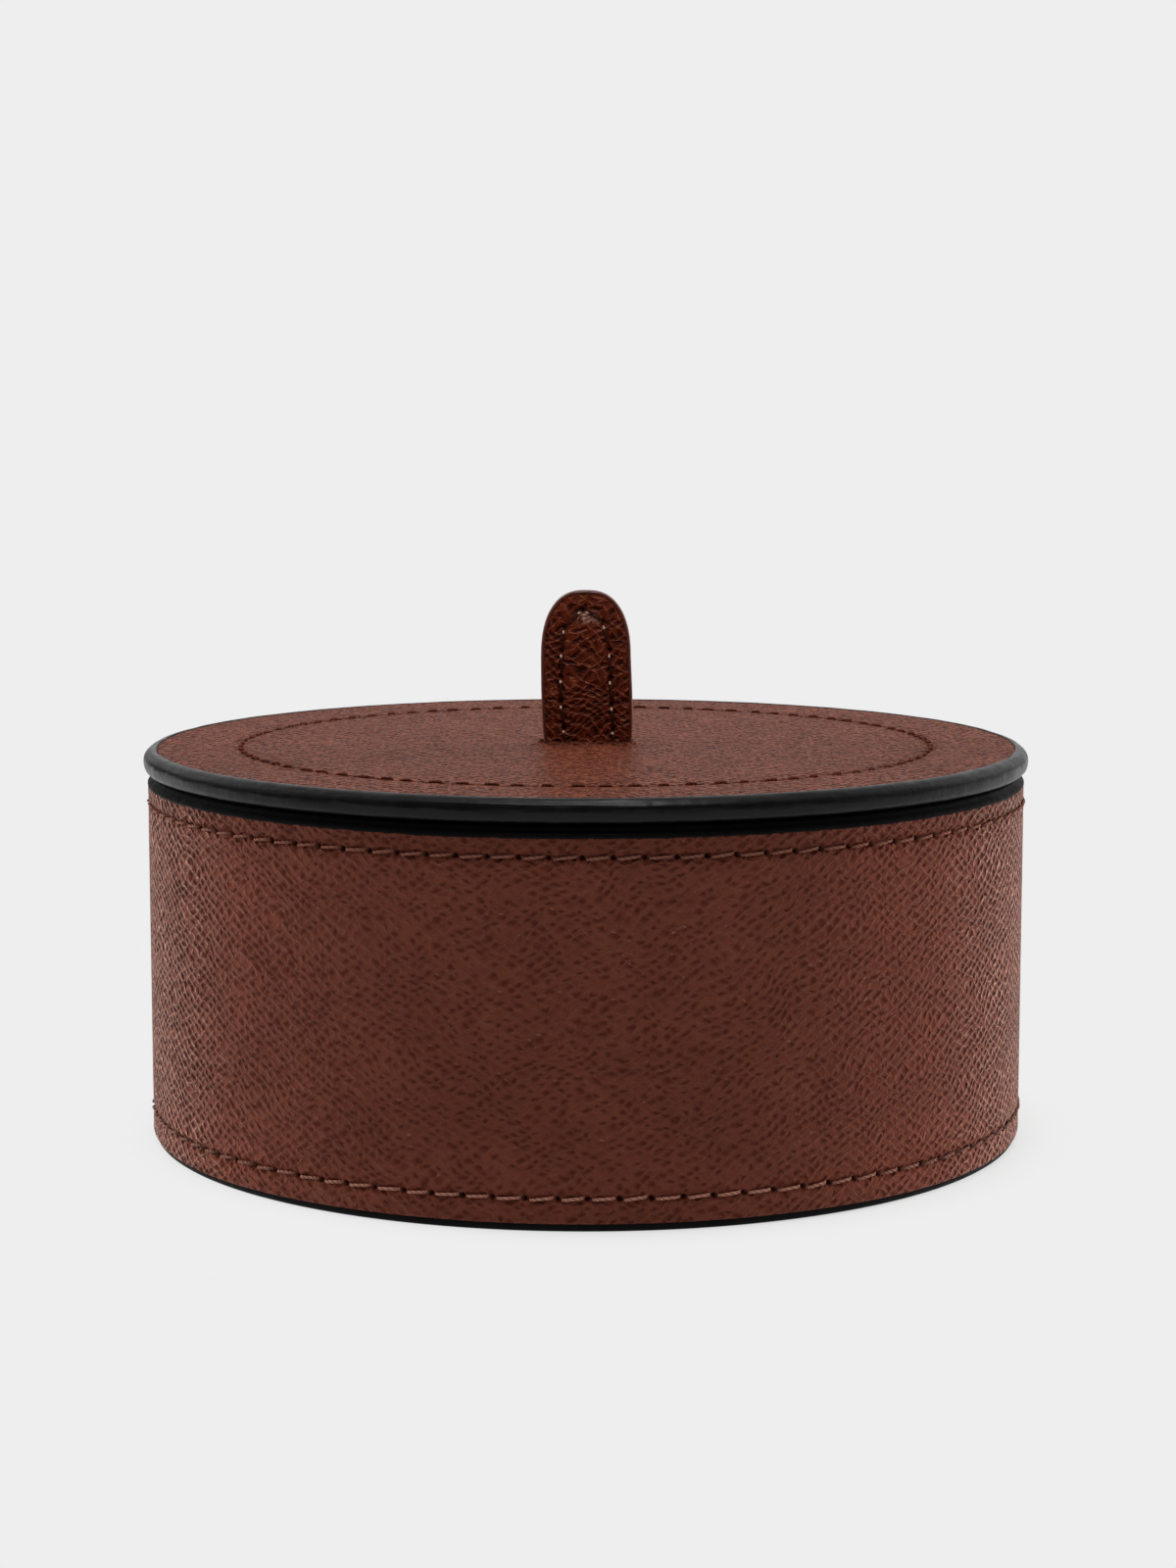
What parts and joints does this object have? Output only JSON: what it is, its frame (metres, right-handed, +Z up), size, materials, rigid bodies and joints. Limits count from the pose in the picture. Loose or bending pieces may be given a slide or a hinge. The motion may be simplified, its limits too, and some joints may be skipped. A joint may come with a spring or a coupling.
{
  "type": "round leather trinket box",
  "caption": "Low round leather box with a sewn wall, a lift-off lid with a dark painted edge and an upright leather pull tab.",
  "frame": {"origin": "on the table, under the centre of the round foot", "axes": "+Z up through the middle of the lid, -Y the front, towards which the pull tab's grained face looks, +X to the right of it"},
  "size_m": [0.132, 0.132, 0.0812],
  "materials": {
    "wall_leather": "satin",
    "lid_leather": "satin",
    "tab_leather": "satin",
    "thread": "matte",
    "edge_paint": "gloss",
    "tab_edge_paint": "gloss",
    "board": "matte",
    "lining": "matte"
  },
  "bodies": {
    "base": {"wall_leather": "wall_leather", "wall_board": "board", "wall_lining": "lining", "wall_top_edge": "edge_paint", "wall_bottom_edge": "edge_paint", "wall_top_stitching": "thread", "wall_bottom_stitching": "thread", "floor_board": "board", "floor_lining": "lining", "underside_cover": "wall_leather"},
    "lid": {"lid_leather": "lid_leather", "lid_board": "board", "lid_lining": "wall_leather", "lid_edge": "edge_paint", "lid_stitching": "thread", "plug_board": "board", "plug_lining": "lining", "tab_root": "tab_leather"},
    "tab": {"tab_front_leather": "tab_leather", "tab_back_leather": "tab_leather", "tab_core": "board", "tab_edge": "tab_edge_paint", "tab_front_stitching": "thread", "tab_back_stitching": "thread"}
  },
  "joints": [
    {"name": "lid_lift", "type": "slide", "parent": "base", "child": "lid", "axis": [0, 0, 1], "range_m": [0, 0.09]},
    {"name": "tab_flex", "type": "hinge", "parent": "lid", "child": "tab", "pos_m": [0, 0, 0.05995], "axis": [1, 0, 0], "range_deg": [-30, 30], "stiffness_Nm_per_rad": 0.02}
  ]
}
